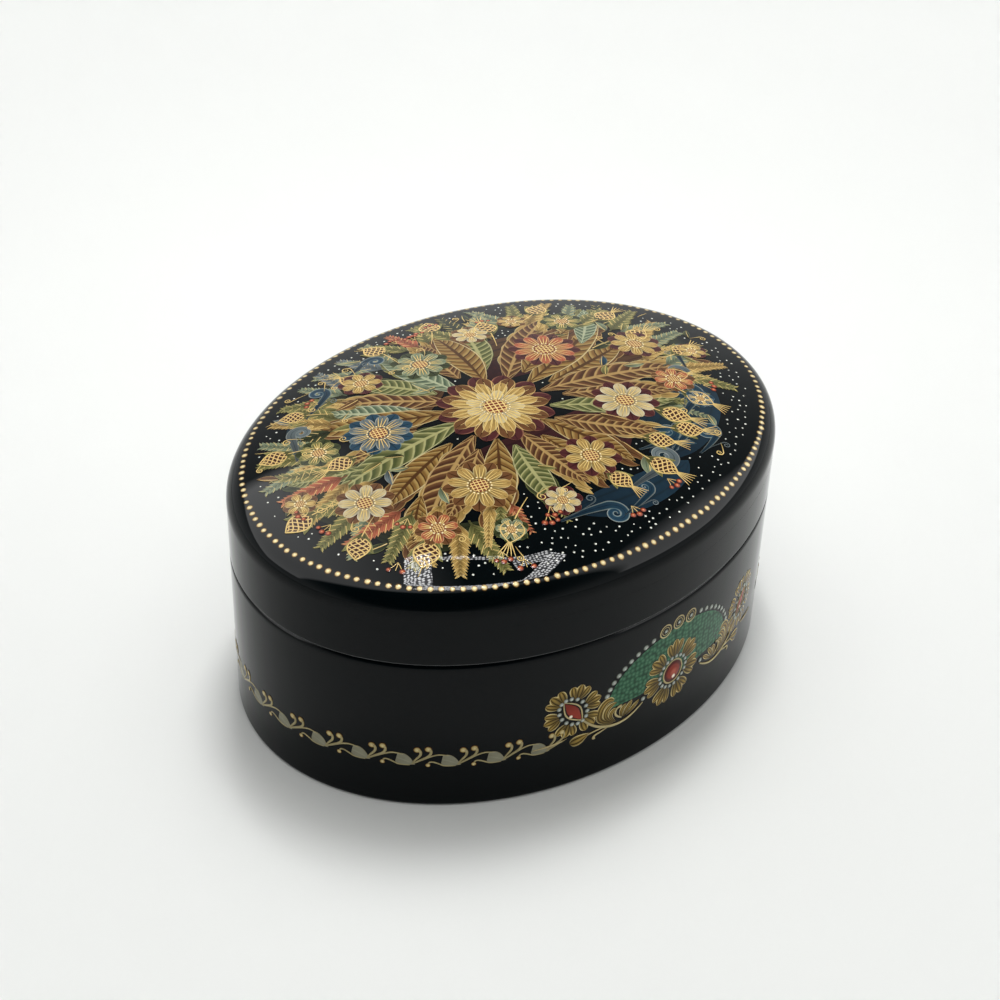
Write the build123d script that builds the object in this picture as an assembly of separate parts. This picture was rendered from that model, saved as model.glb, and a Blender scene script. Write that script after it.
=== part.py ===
from build123d import *
import math
import os

# Oval box of lacquered papier-mache with a domed lift-off lid, in millimetres.
# The origin is the middle of the underside, +Z is up and X runs along the oval.

# Outside of the closed box. The dome rises from where it would meet the wall
# if the shoulder between them were sharp.
length = 100.0
width = 77.2
rim_height = 28.8
dome_rise = 5.1
dome_half_angle = 30.0
shoulder_radius = 3.7

# Thickness of each wound tube and pressed board
body_wall_thickness = 2.6
collar_thickness = 1.6
base_thickness = 3.0
lid_board_thickness = 3.0

# How the lid sits over the collar, and how far its hollow rises above the skirt
lid_clearance = 0.2
collar_stand = 5.5
skirt_height = 6.8
hollow_rise = 2.3

# Rounded edges under the lacquer
foot_round = 0.7
rim_round = 0.9
lid_edge_round = 0.35
collar_round = 0.5
inner_shoulder_radius = 1.4

# Heights and insets that follow from the sizes above
inside_inset = body_wall_thickness + collar_thickness
skirt_inner_inset = body_wall_thickness - lid_clearance
collar_top = rim_height + collar_stand
skirt_top = rim_height + skirt_height
shoulder_height = skirt_top + hollow_rise + lid_board_thickness
ceiling = shoulder_height + dome_rise

# How near to a height an edge is looked for
reach = 0.01


def oval_block(inset, bottom, top):
    """An upright oval block whose outline lies inset within the outside wall."""
    outline = Ellipse(length / 2 - inset, width / 2 - inset)
    return Pos(0, 0, bottom) * extrude(outline, amount=top - bottom)


def oval_tube(outer_inset, inner_inset, bottom, top):
    """A wound oval tube between two outlines."""
    return oval_block(outer_inset, bottom, top) - oval_block(inner_inset, bottom, top)


def edges_between(solid, low, high):
    """The edges of a solid whose middles lie between two heights, the longest last."""
    return solid.edges().filter_by_position(Axis.Z, low, high).sort_by(SortBy.LENGTH)


def edges_at(solid, height):
    """The edges of a solid at a height. The last one is the outline there."""
    return edges_between(solid, height - reach, height + reach)


def under_dome(drop):
    """All that lies under the lid's dome, which is a ball stretched to the oval, lowered by drop."""
    half_angle = math.radians(dome_half_angle)
    stretch_x = length / 2 / math.sin(half_angle)
    stretch_y = width / 2 / math.sin(half_angle)
    stretch_z = dome_rise / (1 - math.cos(half_angle))
    middle = ceiling - drop - stretch_z
    return Pos(0, 0, middle) * scale(Sphere(1), by=(stretch_x, stretch_y, stretch_z))


def make_body_wall():
    """The lower wall, a wound tube, rounded at the foot and a little more at the rim."""
    wall = oval_tube(0, body_wall_thickness, 0, rim_height)
    wall = fillet(edges_at(wall, 0)[-1], foot_round)
    return fillet(edges_at(wall, rim_height)[-1], rim_round)


def make_base_plate():
    """The plate glued inside the foot of the wall."""
    return oval_block(body_wall_thickness, 0, base_thickness)


def make_inner_collar():
    """The thin tube that lines the wall and stands above the rim, eased at its lip."""
    collar = oval_tube(body_wall_thickness, inside_inset, base_thickness, collar_top)
    return fillet(edges_at(collar, collar_top), collar_round)


def make_lid_skirt():
    """The lid's straight ring, which rests on the rim and surrounds the collar."""
    skirt = oval_tube(0, skirt_inner_inset, rim_height, skirt_top)
    return fillet(edges_at(skirt, rim_height)[-1], lid_edge_round)


def make_lid_top():
    """The domed board with its rounded shoulder. Its short wall is glued on the skirt."""
    outside = oval_block(0, skirt_top, ceiling) & under_dome(0)
    outside = fillet(edges_at(outside, shoulder_height)[-1], shoulder_radius)
    hollow = oval_block(skirt_inner_inset, skirt_top, ceiling) & under_dome(lid_board_thickness)
    hollow = fillet(edges_between(hollow, skirt_top + reach, ceiling)[-1], inner_shoulder_radius)
    return outside - hollow


pieces = {
    "body_wall": make_body_wall,
    "base_plate": make_base_plate,
    "inner_collar": make_inner_collar,
    "lid_skirt": make_lid_skirt,
    "lid_top": make_lid_top,
}

os.makedirs("parts", exist_ok=True)
for name, make in pieces.items():
    export_step(make(), f"parts/{name}.step")
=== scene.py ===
import itertools
import math
import random

import bpy
from mathutils import Euler, Matrix, Vector


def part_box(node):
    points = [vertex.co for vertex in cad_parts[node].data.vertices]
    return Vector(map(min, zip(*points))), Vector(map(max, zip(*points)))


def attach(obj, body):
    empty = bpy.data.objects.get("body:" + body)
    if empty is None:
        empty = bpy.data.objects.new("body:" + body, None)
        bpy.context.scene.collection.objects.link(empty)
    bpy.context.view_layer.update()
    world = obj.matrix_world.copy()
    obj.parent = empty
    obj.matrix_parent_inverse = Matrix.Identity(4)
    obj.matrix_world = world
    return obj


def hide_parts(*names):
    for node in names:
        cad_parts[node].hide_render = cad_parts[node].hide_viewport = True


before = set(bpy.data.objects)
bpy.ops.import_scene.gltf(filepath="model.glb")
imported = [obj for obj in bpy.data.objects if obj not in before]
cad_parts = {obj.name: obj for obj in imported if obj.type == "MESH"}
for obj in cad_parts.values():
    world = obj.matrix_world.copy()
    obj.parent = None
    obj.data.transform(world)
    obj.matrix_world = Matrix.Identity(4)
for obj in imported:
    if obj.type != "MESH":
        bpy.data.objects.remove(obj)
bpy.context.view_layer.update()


# The base plate is a disc of pressed board, glued inside the foot of the wall.
# Its upper face has the red lacquer of the whole inside, and its underside the black one.
plate_low, plate_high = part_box("base_plate")
plate_edge = 0.0002
oval_sides = 192
smooth_angle = math.radians(35)
dust_tone = (0.30, 0.30, 0.28, 1)
cloud_scale, dust_scale, ripple_scale = 90, 520, 260
dust_rarity, dust_size = 0.985, 0.10
ripple_height = 0.000006
rubbed_gloss = {"To Min": 0.16, "To Max": 0.30}


def feed(node, feeds):
    """Feeds a node's inputs with outputs of other nodes or with values."""
    for socket, value in feeds.items():
        if isinstance(value, bpy.types.NodeSocket):
            node.id_data.links.new(value, node.inputs[socket])
        else:
            node.inputs[socket].default_value = value


def add_node(tree, kind, feeds, out=0, **settings):
    """Adds a shader node and gives back one of its outputs."""
    node = tree.nodes.new("ShaderNode" + kind)
    for name, value in settings.items():
        setattr(node, name, value)
    feed(node, feeds)
    return node.outputs[out]


def maths(tree, operation, *terms):
    """One sum or test on outputs and numbers."""
    return add_node(tree, "Math", dict(enumerate(terms)), operation=operation)


def blend(tree, share, under, over, way="MIX"):
    """Lays one colour over another."""
    feeds = {"Factor": share, "A": under, "B": over}
    return add_node(tree, "Mix", feeds, "Result", data_type="RGBA", blend_type=way)


varnish = {"Specular IOR Level": 0.0, "Coat Weight": 1.0, "Coat Roughness": 0.008, "Coat IOR": 1.205}


def new_material(name):
    """A material whose clear coat is the polished varnish that lies over the whole box."""
    material = bpy.data.materials.new(name)
    material.use_nodes = True
    shader = material.node_tree.nodes["Principled BSDF"]
    feed(shader, varnish)
    return material, material.node_tree, shader


def lacquer(name, colour, cloud):
    """Rubbed lacquer: slightly clouded in depth, faintly rippled, with a few specks of dust in it."""
    material, tree, shader = new_material(name)
    place = add_node(tree, "TexCoord", {}, "Object")
    depth = add_node(tree, "TexNoise", {"Vector": place, "Scale": cloud_scale, "Detail": 4}, "Fac")
    dust = add_node(tree, "TexVoronoi", {"Vector": place, "Scale": dust_scale}).node.outputs
    chosen = maths(tree, "GREATER_THAN", dust["Color"], dust_rarity)
    speck = maths(tree, "MULTIPLY", chosen, maths(tree, "LESS_THAN", dust["Distance"], dust_size))
    clouded = blend(tree, depth, (*colour, 1), (*cloud, 1))
    ripples = add_node(tree, "TexNoise", {"Vector": place, "Scale": ripple_scale, "Detail": 1}, "Fac")
    bump = add_node(tree, "Bump", {"Height": ripples, "Strength": 1.0, "Distance": ripple_height})
    rubbed = add_node(tree, "MapRange", {"Value": depth, **rubbed_gloss})
    dusty = blend(tree, speck, clouded, dust_tone)
    feed(shader, {"Base Color": dusty, "Roughness": rubbed, "Normal": bump, "Coat Normal": bump})
    return material


def add_oval_shell(name, rings, sides=oval_sides):
    """A closed shell of level ovals (half length, half width, height), each extruded from the last."""
    bpy.ops.object.select_all(action="DESELECT")
    bpy.ops.mesh.primitive_circle_add(vertices=sides, radius=1, enter_editmode=True)
    bpy.context.object.name = name
    last = (1, 1, 0)
    for count, ring in enumerate(rings):
        rise = (0, 0, ring[2] - last[2])
        if count:
            bpy.ops.mesh.extrude_region_move(TRANSFORM_OT_translate={"value": rise})
        else:
            bpy.ops.transform.translate(value=rise)
        stretch = (ring[0] / last[0], ring[1] / last[1], 1)
        bpy.ops.transform.resize(value=stretch, center_override=(0, 0, ring[2]))
        last = ring
    bpy.ops.mesh.select_all(action="SELECT")
    bpy.ops.mesh.remove_doubles(threshold=0.000001)
    bpy.ops.mesh.fill_holes(sides=0)
    bpy.ops.mesh.normals_make_consistent(inside=False)
    bpy.ops.object.mode_set(mode="OBJECT")
    bpy.ops.object.shade_smooth_by_angle(angle=smooth_angle)
    return bpy.context.object


def inset_rings(high, profile):
    """Turns points (inset from the outside, height) into level ovals."""
    return [(high.x - inset, high.y - inset, height) for inset, height in profile]


def make_piece(name, rings, node, body, is_red):
    """Makes a piece of the box, red on the faces that the test picks, and puts it in its node's place."""
    piece = add_oval_shell(name, rings)
    for material in (black_lacquer, red_lacquer):
        piece.data.materials.append(material)
    for face in piece.data.polygons:
        face.material_index = int(is_red(face))
    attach(piece, body)
    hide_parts(node)
    return piece


def faces_up(face):
    """Whether a face looks up into the box."""
    return face.normal.z > 0.5


black_lacquer = lacquer("black_lacquer", (0.0003, 0.0012, 0.0015), (0.0006, 0.0020, 0.0025))
red_lacquer = lacquer("red_lacquer", (0.40, 0.026, 0.016), (0.30, 0.018, 0.012))
plate_profile = [(plate_edge, plate_low.z), (0, plate_low.z + plate_edge)]
plate_profile += [(0, plate_high.z - plate_edge), (plate_edge, plate_high.z)]
plate_rings = inset_rings(plate_high, plate_profile)
make_piece("pressed_base_board", plate_rings, "base_plate", "base", faces_up)


# The lower wall is a tube of glued paper wound on an oval former and soaked in oil.
# Its foot and rim are eased with a scraper before the lacquer, so both catch the light.
wall_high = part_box("body_wall")[1]
foot_round = 0.0007
rim_round = 0.0009
corner_steps = 7
even_strip = 0.0003


def eased_edge(corner_inset, corner_height, radius, from_angle, to_angle):
    """Points of a rounded edge as (inset, height). The angles turn from outwards, 0, to straight up, 90."""
    points = []
    for step in range(corner_steps + 1):
        angle = math.radians(from_angle + (to_angle - from_angle) * step / corner_steps)
        points.append((corner_inset - radius * math.cos(angle), corner_height + radius * math.sin(angle)))
    return points


wall_inset = wall_high.x - plate_high.x
wall_profile = eased_edge(foot_round, foot_round, foot_round, -90, 0)
wall_profile += [(0, foot_round + even_strip), (0, wall_high.z - rim_round - even_strip)]
wall_profile += eased_edge(rim_round, wall_high.z - rim_round, rim_round, 0, 90)
wall_profile += [(wall_inset, wall_high.z), (wall_inset, 0), wall_profile[0]]
wall_rings = inset_rings(wall_high, wall_profile)
make_piece("wound_lower_wall", wall_rings, "body_wall", "base", lambda face: False)


# The inner collar is a thinner tube glued inside the wall. It stands above the rim, locates the
# lid, and is red like the whole inside. Its lip is rounded on both sides.
collar_low, collar_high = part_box("inner_collar")
collar_thickness = 0.0016
lip_round = 0.0005
lip_height = collar_high.z - lip_round
collar_profile = [(0, collar_low.z), (0, lip_height - even_strip)]
collar_profile += eased_edge(lip_round, lip_height, lip_round, 0, 90)
collar_profile += eased_edge(collar_thickness - lip_round, lip_height, lip_round, 90, 180)
collar_profile += [(collar_thickness, lip_height - even_strip), (collar_thickness, collar_low.z)]
collar_rings = inset_rings(collar_high, collar_profile + collar_profile[:1])
make_piece("wound_inner_collar", collar_rings, "inner_collar", "base", lambda face: True)


# The lid's skirt is a ring of the same wound tube as the lower wall. It rests on the wall's rim
# and slides over the collar. The thin bright line of the seam is its eased lower edge, whose outer faces
# get a lighter grey lacquer as a painted highlight.
skirt_low, skirt_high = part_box("lid_skirt")
lid_clearance = 0.0002
skirt_edge_round = 0.00035
level_face = 0.97
skirt_inset = wall_inset - lid_clearance
edge_top = skirt_low.z + skirt_edge_round
skirt_profile = eased_edge(skirt_edge_round, edge_top, skirt_edge_round, -90, 0)
skirt_profile += [(0, edge_top + even_strip), (0, skirt_high.z)]
skirt_profile += [(skirt_inset, skirt_high.z), (skirt_inset, skirt_low.z), skirt_profile[0]]
skirt_rings = inset_rings(skirt_high, skirt_profile)


def faces_the_middle(face):
    """Whether a face looks at the upright middle line of the box."""
    return face.normal.x * face.center.x + face.normal.y * face.center.y < 0


lid_skirt = make_piece("wound_lid_skirt", skirt_rings, "lid_skirt", "lid", faces_the_middle)
# The third lacquer, a lighter grey on the outer faces of the eased lower edge, is a painted highlight for the
# seam's bright line.
lid_skirt.data.materials.append(lacquer("seam_painted_highlight", (0.034, 0.036, 0.036), (0.050, 0.052, 0.052)))
for face in lid_skirt.data.polygons:
    if face.center.z < edge_top and face.normal.z > -level_face and not faces_the_middle(face):
        face.material_index = 2


# The lid's top is a board pressed over a shallow dome and glued on the skirt. A soft shoulder
# leads from the upright wall into the dome. The hollow below is red.
top_low, top_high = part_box("lid_top")
dome_rise = 0.0051
dome_half_angle = math.radians(30)
board_thickness = 0.003
shoulder_round = 0.0037
hollow_round = 0.0014
dome_height = dome_rise / (1 - math.cos(dome_half_angle))
dome_steps = 26
shoulder_steps = 16
halvings = 50


def middle_planes(inset, drop, radius):
    """A lid surface in its long and its short upright middle plane."""
    middle = top_high.z - drop - dome_height
    reaches = (top_high.x, top_high.y)
    return [(reach - inset, reach / math.sin(dome_half_angle), middle, radius) for reach in reaches]


def shoulder(wall_reach, dome_reach, dome_middle, radius):
    """The ball that touches an upright wall and the dome from inside, in one middle plane.

    Returns the ball's height and the height where it leaves the dome.
    """
    low, high = 0, math.asin(min(1, wall_reach / dome_reach))
    for _ in range(halvings):
        turn = (low + high) / 2
        lean_x, lean_z = math.sin(turn) / dome_reach, math.cos(turn) / dome_height
        lean = math.hypot(lean_x, lean_z)
        if dome_reach * math.sin(turn) - radius * lean_x / lean > wall_reach - radius:
            high = turn
        else:
            low = turn
    touch = dome_middle + dome_height * math.cos(turn)
    return touch - radius * lean_z / lean, touch


def lid_reach(height, wall_reach, dome_reach, dome_middle, radius):
    """How far a lid surface stands from the middle at a height, in one middle plane."""
    ball_height, touch = shoulder(wall_reach, dome_reach, dome_middle, radius)
    if height <= ball_height:
        return wall_reach
    if height <= touch:
        return wall_reach - radius + math.sqrt(radius**2 - (height - ball_height) ** 2)
    return dome_reach * math.sqrt(1 - ((height - dome_middle) / dome_height) ** 2)


def dome_rings(inset, drop, radius, steps=dome_steps):
    """Level ovals of a lid surface from near its top down to its straight wall."""
    planes = middle_planes(inset, drop, radius)
    middle = planes[0][2]
    start = min(shoulder(*plane)[0] for plane in planes)
    break_height = max(shoulder(*plane)[1] for plane in planes)
    break_turn = math.acos((break_height - middle) / dome_height)
    turns = [break_turn * (step + 0.25) / steps for step in range(steps)]
    heights = [middle + dome_height * math.cos(turn) for turn in turns]
    turns = [math.pi / 2 * step / shoulder_steps for step in range(shoulder_steps + 1)]
    heights += [start + (break_height - start) * math.cos(turn) for turn in turns]
    heights.append(start - even_strip)
    return [(*(lid_reach(height, *plane) for plane in planes), height) for height in heights]


def is_hollow(face):
    """Whether a face of the lid's top is inside the box."""
    return face.normal.z < -0.1 or faces_the_middle(face)


top_rings = dome_rings(0, 0, shoulder_round)
top_rings += inset_rings(top_high, [(0, top_low.z), (skirt_inset, top_low.z)])
top_rings += reversed(dome_rings(skirt_inset, board_thickness, hollow_round))
make_piece("domed_lid_board", top_rings, "lid_top", "lid", is_hollow)


# Cream beads with gold rims border the picture, just inside the shoulder. Each is one touch of a
# full brush, so it stands a little proud of the lacquer.
bead_pitch = 0.00158
bead_radius = 0.00049
bead_relief = 0.000025
bead_stray = 0.00004
bead_ring_height = 0.0415
paint_drop = 0.02
paint_roughness = 0.42
paint_grain = {"Scale": 900, "Detail": 3}
form_sides, form_steps = 288, 64


def tone(swatch):
    """A colour given by its swatch, from 0 to 255, as the amount of light that it sends back."""
    light = [part / 255 for part in swatch]
    return (*(part / 12.92 if part < 0.04 else ((part + 0.055) / 1.055) ** 2.4 for part in light), 1)


def grey(level):
    """A grey that sends back one share of the light."""
    return (level, level, level, 1)


def add_ramp(tree, source, stops):
    """A colour ramp over one output, with (place, colour) stops."""
    colour = add_node(tree, "ValToRGB", {"Fac": source}, "Color")
    elements = colour.node.color_ramp.elements
    while len(elements) < len(stops):
        elements.new(0.5)
    for element, (place, shade) in zip(elements, stops):
        element.position = place
        element.color = shade
    return colour


def mix_paint(material, colour, depth, metal=0.0, roughness=paint_roughness):
    """Gives a material its colour, as uneven as hand-mixed paint, darker by depth here and there."""
    tree = material.node_tree
    place = add_node(tree, "TexCoord", {}, "Object")
    grain = add_node(tree, "TexNoise", {"Vector": place, **paint_grain}, "Fac")
    dark = add_node(tree, "MapRange", {"Value": grain, "To Min": 1 - depth, "To Max": 1 + depth})
    mixed = blend(tree, 1.0, colour, dark, "MULTIPLY")
    shader = tree.nodes["Principled BSDF"]
    feed(shader, {"Base Color": mixed, "Metallic": metal, "Roughness": roughness})
    return material


def dot_paint_with_painted_light(name, *swatches, metal=0.0):
    """Paint of a round touch: a painted highlight in its middle, its body colour, and a darker rim that is
    partly its own edge and partly painted shade.
    """
    material, tree, _ = new_material(name)
    uv = add_node(tree, "TexCoord", {}, "UV")
    centred = add_node(tree, "VectorMath", {0: uv, 1: (0.5, 0.5, 0)}, "Value", operation="DISTANCE")
    middle, body, rim = map(tone, swatches)
    stops = [(0.08, middle), (0.22, body), (0.32, body), (0.41, rim)]
    return mix_paint(material, add_ramp(tree, centred, stops), 0.12, metal)


def pick(*pieces):
    """Selects some pieces and nothing else, and makes the first one active."""
    bpy.ops.object.select_all(action="DESELECT")
    for piece in pieces:
        piece.select_set(True)
    bpy.context.view_layer.objects.active = pieces[0]


def add_dot(radius, relief, sides):
    """One touch of a brush: a round drop, highest in the middle."""
    bpy.ops.object.select_all(action="DESELECT")
    bpy.ops.mesh.primitive_circle_add(vertices=sides, radius=radius, fill_type="NGON", enter_editmode=True)
    for _ in range(2):
        bpy.ops.mesh.inset(thickness=radius * 0.32, depth=relief / 2)
    bpy.ops.object.mode_set(mode="OBJECT")
    bpy.ops.object.shade_smooth()
    return bpy.context.object


def join_copies(name, model, places):
    """Copies a model to flat places (x, y, lift, turn, size) and joins the copies to one piece."""
    copies = []
    for x, y, lift, turn, size in places:
        copy = model.copy()
        copy.data = model.data.copy()
        moved = Matrix.Translation((x, y, lift)) @ Matrix.Rotation(turn, 4, "Z")
        copy.matrix_world = moved @ Matrix.Scale(size, 4)
        bpy.context.collection.objects.link(copy)
        copies.append(copy)
    bpy.data.objects.remove(model)
    pick(*copies)
    bpy.ops.object.join()
    bpy.ops.object.transform_apply(location=True, rotation=True, scale=True)
    copies[0].name = name
    return copies[0]


def finish_paint(piece, material, body):
    """Gives a dry painting its paint and lets it ride on its body."""
    piece.data.materials.append(material)
    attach(piece, body)


def paint_lid(piece, lift, material):
    """Lays flat painting on the lid. Each point drops on the board and keeps its own small height."""
    group = piece.vertex_groups.new(name="height")
    relief = max(point.co.z for point in piece.data.vertices)
    for point in piece.data.vertices:
        group.add([point.index], point.co.z / relief, "REPLACE")
    pick(piece)
    piece.location.z = top_high.z + paint_drop
    bpy.ops.object.transform_apply(location=True)
    drop = piece.modifiers.new("drop", "SHRINKWRAP")
    drop.target = pressing_form
    drop.wrap_method = "PROJECT"
    drop.use_project_z = True
    drop.use_positive_direction = False
    drop.use_negative_direction = True
    drop.offset = lift
    swell = piece.modifiers.new("swell", "DISPLACE")
    swell.direction = "Z"
    swell.mid_level = 0
    swell.strength = relief
    swell.vertex_group = group.name
    for modifier in ("drop", "swell"):
        bpy.ops.object.modifier_apply(modifier=modifier)
    piece.vertex_groups.clear()
    bpy.ops.object.shade_smooth()
    finish_paint(piece, material, "lid")


def oval_places(reach_x, reach_y, pitch, fine=2000):
    """Evenly spaced places along a level oval, as near to a pitch as a whole number of them allows."""
    angles = [math.tau * k / fine for k in range(fine + 1)]
    track = [Vector((reach_x * math.cos(angle), reach_y * math.sin(angle))) for angle in angles]
    lengths = [0.0]
    for before, after in zip(track, track[1:]):
        lengths.append(lengths[-1] + (after - before).length)
    count = round(lengths[-1] / pitch)
    places, at = [], 0
    for k in range(count):
        while lengths[at + 1] < lengths[-1] * k / count:
            at += 1
        places.append(track[at])
    return places


chance = random.Random(7)
pressing_form = add_oval_shell("pressing_form", dome_rings(0, 0, shoulder_round, form_steps), form_sides)
border_x, border_y = (lid_reach(bead_ring_height, *plane) for plane in middle_planes(0, 0, shoulder_round))
bead_places = []
for place in oval_places(border_x, border_y, bead_pitch):
    x, y = place.x + chance.gauss(0, bead_stray), place.y + chance.gauss(0, bead_stray)
    bead_places.append((x, y, 0, chance.uniform(0, math.tau), chance.gauss(1, 0.07)))
# The beads' paint has a painted highlight in the middle and painted shade towards the gold rim.
bead_gold = dot_paint_with_painted_light("bead_gold", (212, 200, 158), (188, 170, 122), (98, 70, 32), metal=0.1)
beads = join_copies("gold_bead_border", add_dot(bead_radius, bead_relief, 12), bead_places)
paint_lid(beads, 0, bead_gold)


# A garland of silver drops, stems and paired buds runs round the lower wall, from one end of the
# side ornament round the back to the other. Every stroke is drawn with the tip of a squirrel brush.
garland_height = 0.0096
garland_units = 32
garland_end = 0.0264
full_crown, fine_crown = 0.08, 0.40
stroke_dip = 0.03
section_steps = 6
dot_lift = 0.00004


def add_brush(name, crown, dip=stroke_dip):
    """The section that a brush leaves across its stroke: an arc, one unit to each side of its middle."""
    section = bpy.data.curves.new(name, "CURVE")
    section.dimensions = "2D"
    arc = section.splines.new("POLY")
    arc.points.add(section_steps)
    for step, point in enumerate(arc.points):
        angle = math.pi * (1 - step / section_steps)
        point.co = (math.cos(angle), crown * math.sin(angle) - dip, 0, 1)
    brush = bpy.data.objects.new(name, section)
    bpy.context.collection.objects.link(brush)
    return brush


def open_pot(name, brush, smoothness=4):
    """A pot of one paint: a set of strokes, none drawn yet, that one brush draws."""
    pot = bpy.data.curves.new(name, "CURVE")
    pot.dimensions = "3D"
    pot.twist_mode = "Z_UP"
    pot.bevel_mode = "OBJECT"
    pot.bevel_object = brush
    pot.resolution_u = smoothness
    return pot


def stroke(pot, path, place=(0, 0), turn=0.0, size=1.0, lift=0.0, flip=1):
    """Draws one stroke through (along, across, half width) points, placed, turned and sized on the flat."""
    cosine, sine = math.cos(turn) * size, math.sin(turn) * size
    line = pot.splines.new("NURBS")
    line.points.add(len(path) - 1)
    for point, (along, across, half_width) in zip(line.points, path):
        across *= flip
        x, y = place[0] + along * cosine - across * sine, place[1] + along * sine + across * cosine
        point.co = (x, y, lift, 1)
        point.radius = half_width * size
    line.order_u = 3
    line.use_endpoint_u = True


def dry(pot):
    """Turns a pot's strokes into one mesh piece."""
    piece = bpy.data.objects.new(pot.name, pot)
    bpy.context.collection.objects.link(piece)
    pick(piece)
    bpy.ops.object.convert(target="MESH")
    bpy.ops.object.mode_set(mode="EDIT")
    bpy.ops.mesh.select_all(action="SELECT")
    bpy.ops.mesh.remove_doubles(threshold=0.0000001)
    bpy.ops.object.mode_set(mode="OBJECT")
    bpy.ops.object.shade_smooth()
    return piece


def paint_wall(piece, material):
    """Bends flat painting round the wall. Its width starts from the middle of the -Y side, towards +X."""
    pick(piece)
    piece.rotation_euler = (math.pi / 2, 0, math.pi)
    bpy.ops.object.transform_apply(rotation=True)
    bend = piece.modifiers.new("bend", "CURVE")
    bend.object = wall_line
    bend.deform_axis = "POS_X"
    bpy.ops.object.modifier_apply(modifier="bend")
    finish_paint(piece, material, "base")


def dots_on_wall(name, dot, places, material):
    """Paints the same dot (radius, relief, sides) at some places on the wall."""
    paint_wall(join_copies(name, add_dot(*dot), places), material)


def stroke_way(tree):
    """How far along and across its stroke a place lies."""
    uv = add_node(tree, "TexCoord", {}, "UV")
    way = add_node(tree, "SeparateXYZ", {0: uv}).node.outputs
    return way["X"], way["Y"]


def stroke_paint(name, swatches, veins=1, root=0.45, metal=0.0, roughness=paint_roughness, rim=0.13,
                 fine=0.045):
    """Paint of a brush stroke: its body edged, veined along its length, and thin and dark where it starts."""
    material, tree, _ = new_material(name)
    along, across = stroke_way(tree)
    body, edge, vein = map(tone, swatches)
    stops = [(0.0, edge), (rim, edge), (rim + 0.06, body)]
    for k in range(veins):
        middle = rim + 0.06 + (0.88 - 2 * rim) * (k + 0.5) / veins
        stops += [(middle - fine, body), (middle, vein), (middle + fine, body)]
    stops += [(0.94 - rim, body), (1 - rim, edge), (1.0, edge)]
    thin = add_ramp(tree, along, [(0.0, grey(root)), (0.55, grey(1))])
    laid = blend(tree, 1.0, add_ramp(tree, across, stops), thin, "MULTIPLY")
    return mix_paint(material, laid, 0.15, metal, roughness)


bpy.ops.object.select_all(action="DESELECT")
bpy.ops.curve.primitive_bezier_circle_add(radius=1)
wall_line = bpy.context.object
wall_line.data.resolution_u = 64
wall_line.data.use_radius = False
bpy.ops.transform.resize(value=(wall_high.x, wall_high.y, 1))
bpy.ops.object.transform_apply(scale=True)
flatness = ((wall_high.x - wall_high.y) / (wall_high.x + wall_high.y)) ** 2
wall_round = math.pi * (wall_high.x + wall_high.y) * (1 + 3 * flatness / (10 + math.sqrt(4 - 3 * flatness)))
full_brush = add_brush("full_brush", full_crown)
fine_brush = add_brush("fine_brush", fine_crown)
gold = stroke_paint("gold_line", ((152, 141, 102), (98, 81, 46), (176, 164, 122)), 1, 0.8, 0.1)
silver = stroke_paint("silver_drop", ((130, 128, 108), (118, 110, 82), (142, 140, 121)), 1, 0.9, 0.0, 0.5)
drops = open_pot("garland_silver_drops", full_brush, 3)
stems = open_pot("garland_gold_stems", fine_brush, 3)
garland_pitch = (wall_round - 2 * garland_end) / garland_units
garland_unit = garland_pitch / 7
drop_path = [
    (-0.7, 0.40, 0.85), (-0.6, 0.38, 1.10), (0.1, 0.22, 1.34), (0.9, -0.12, 1.08),
    (1.7, -0.55, 0.42), (2.2, -0.8, 0),
]
stem_path = [(1.7, -0.75, 0.10), (3.3, 0.25, 0.15), (4.9, 1.15, 0.16), (6.2, 1.45, 0.15), (7.4, 1.1, 0.08)]
curl_path = [
    (4.1, -0.75, 0.13), (4.3, -0.2, 0.16), (4.9, -0.1, 0.16), (5.8, -0.5, 0.15),
    (6.8, -1.05, 0.15), (8.4, -0.95, 0.07),
]
end_path = [(1.7, -0.75, 0.10), (2.9, -0.1, 0.18), (4.2, 0.4, 0.14), (5.2, 0.7, 0.03)]
bud_stalks = (
    [(1.6, -0.7, 0.08), (2.3, 0.3, 0.20), (3.1, 1.2, 0.22), (3.0, 2.2, 0.26), (2.5, 2.3, 0.3)],
    [(1.6, -0.7, 0.08), (3.0, 0.2, 0.20), (4.5, 1.1, 0.22), (4.7, 2.3, 0.26), (4.2, 2.5, 0.3)],
)
bud_dots = ((2.5, 2.25, 1.18), (4.2, 2.45, 1.18), (4.15, -0.8, 0.84))
bud_dot = (0.0005, 0.00006, 10)
bud_places = []
for count in range(garland_units):
    along = -garland_end - garland_pitch * count
    outer_paths = (stem_path, curl_path) if count else (end_path,)
    stroke(drops, drop_path, (along, garland_height), 0, garland_unit)
    for path in outer_paths + bud_stalks:
        stroke(stems, path, (along, garland_height), 0, garland_unit)
    for right, up, size in bud_dots if count else bud_dots[:2]:
        x, y = along + right * garland_unit, garland_height + up * garland_unit
        bud_places.append((x, y, dot_lift, 0, size))
paint_wall(dry(drops), silver)
paint_wall(dry(stems), gold)
# The buds' paint has a painted highlight in the middle and painted shade towards the rim.
bud_cream = dot_paint_with_painted_light("bud_cream", (200, 186, 142), (180, 162, 108), (100, 70, 34))
dots_on_wall("garland_buds", bud_dot, bud_places, bud_cream)


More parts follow.
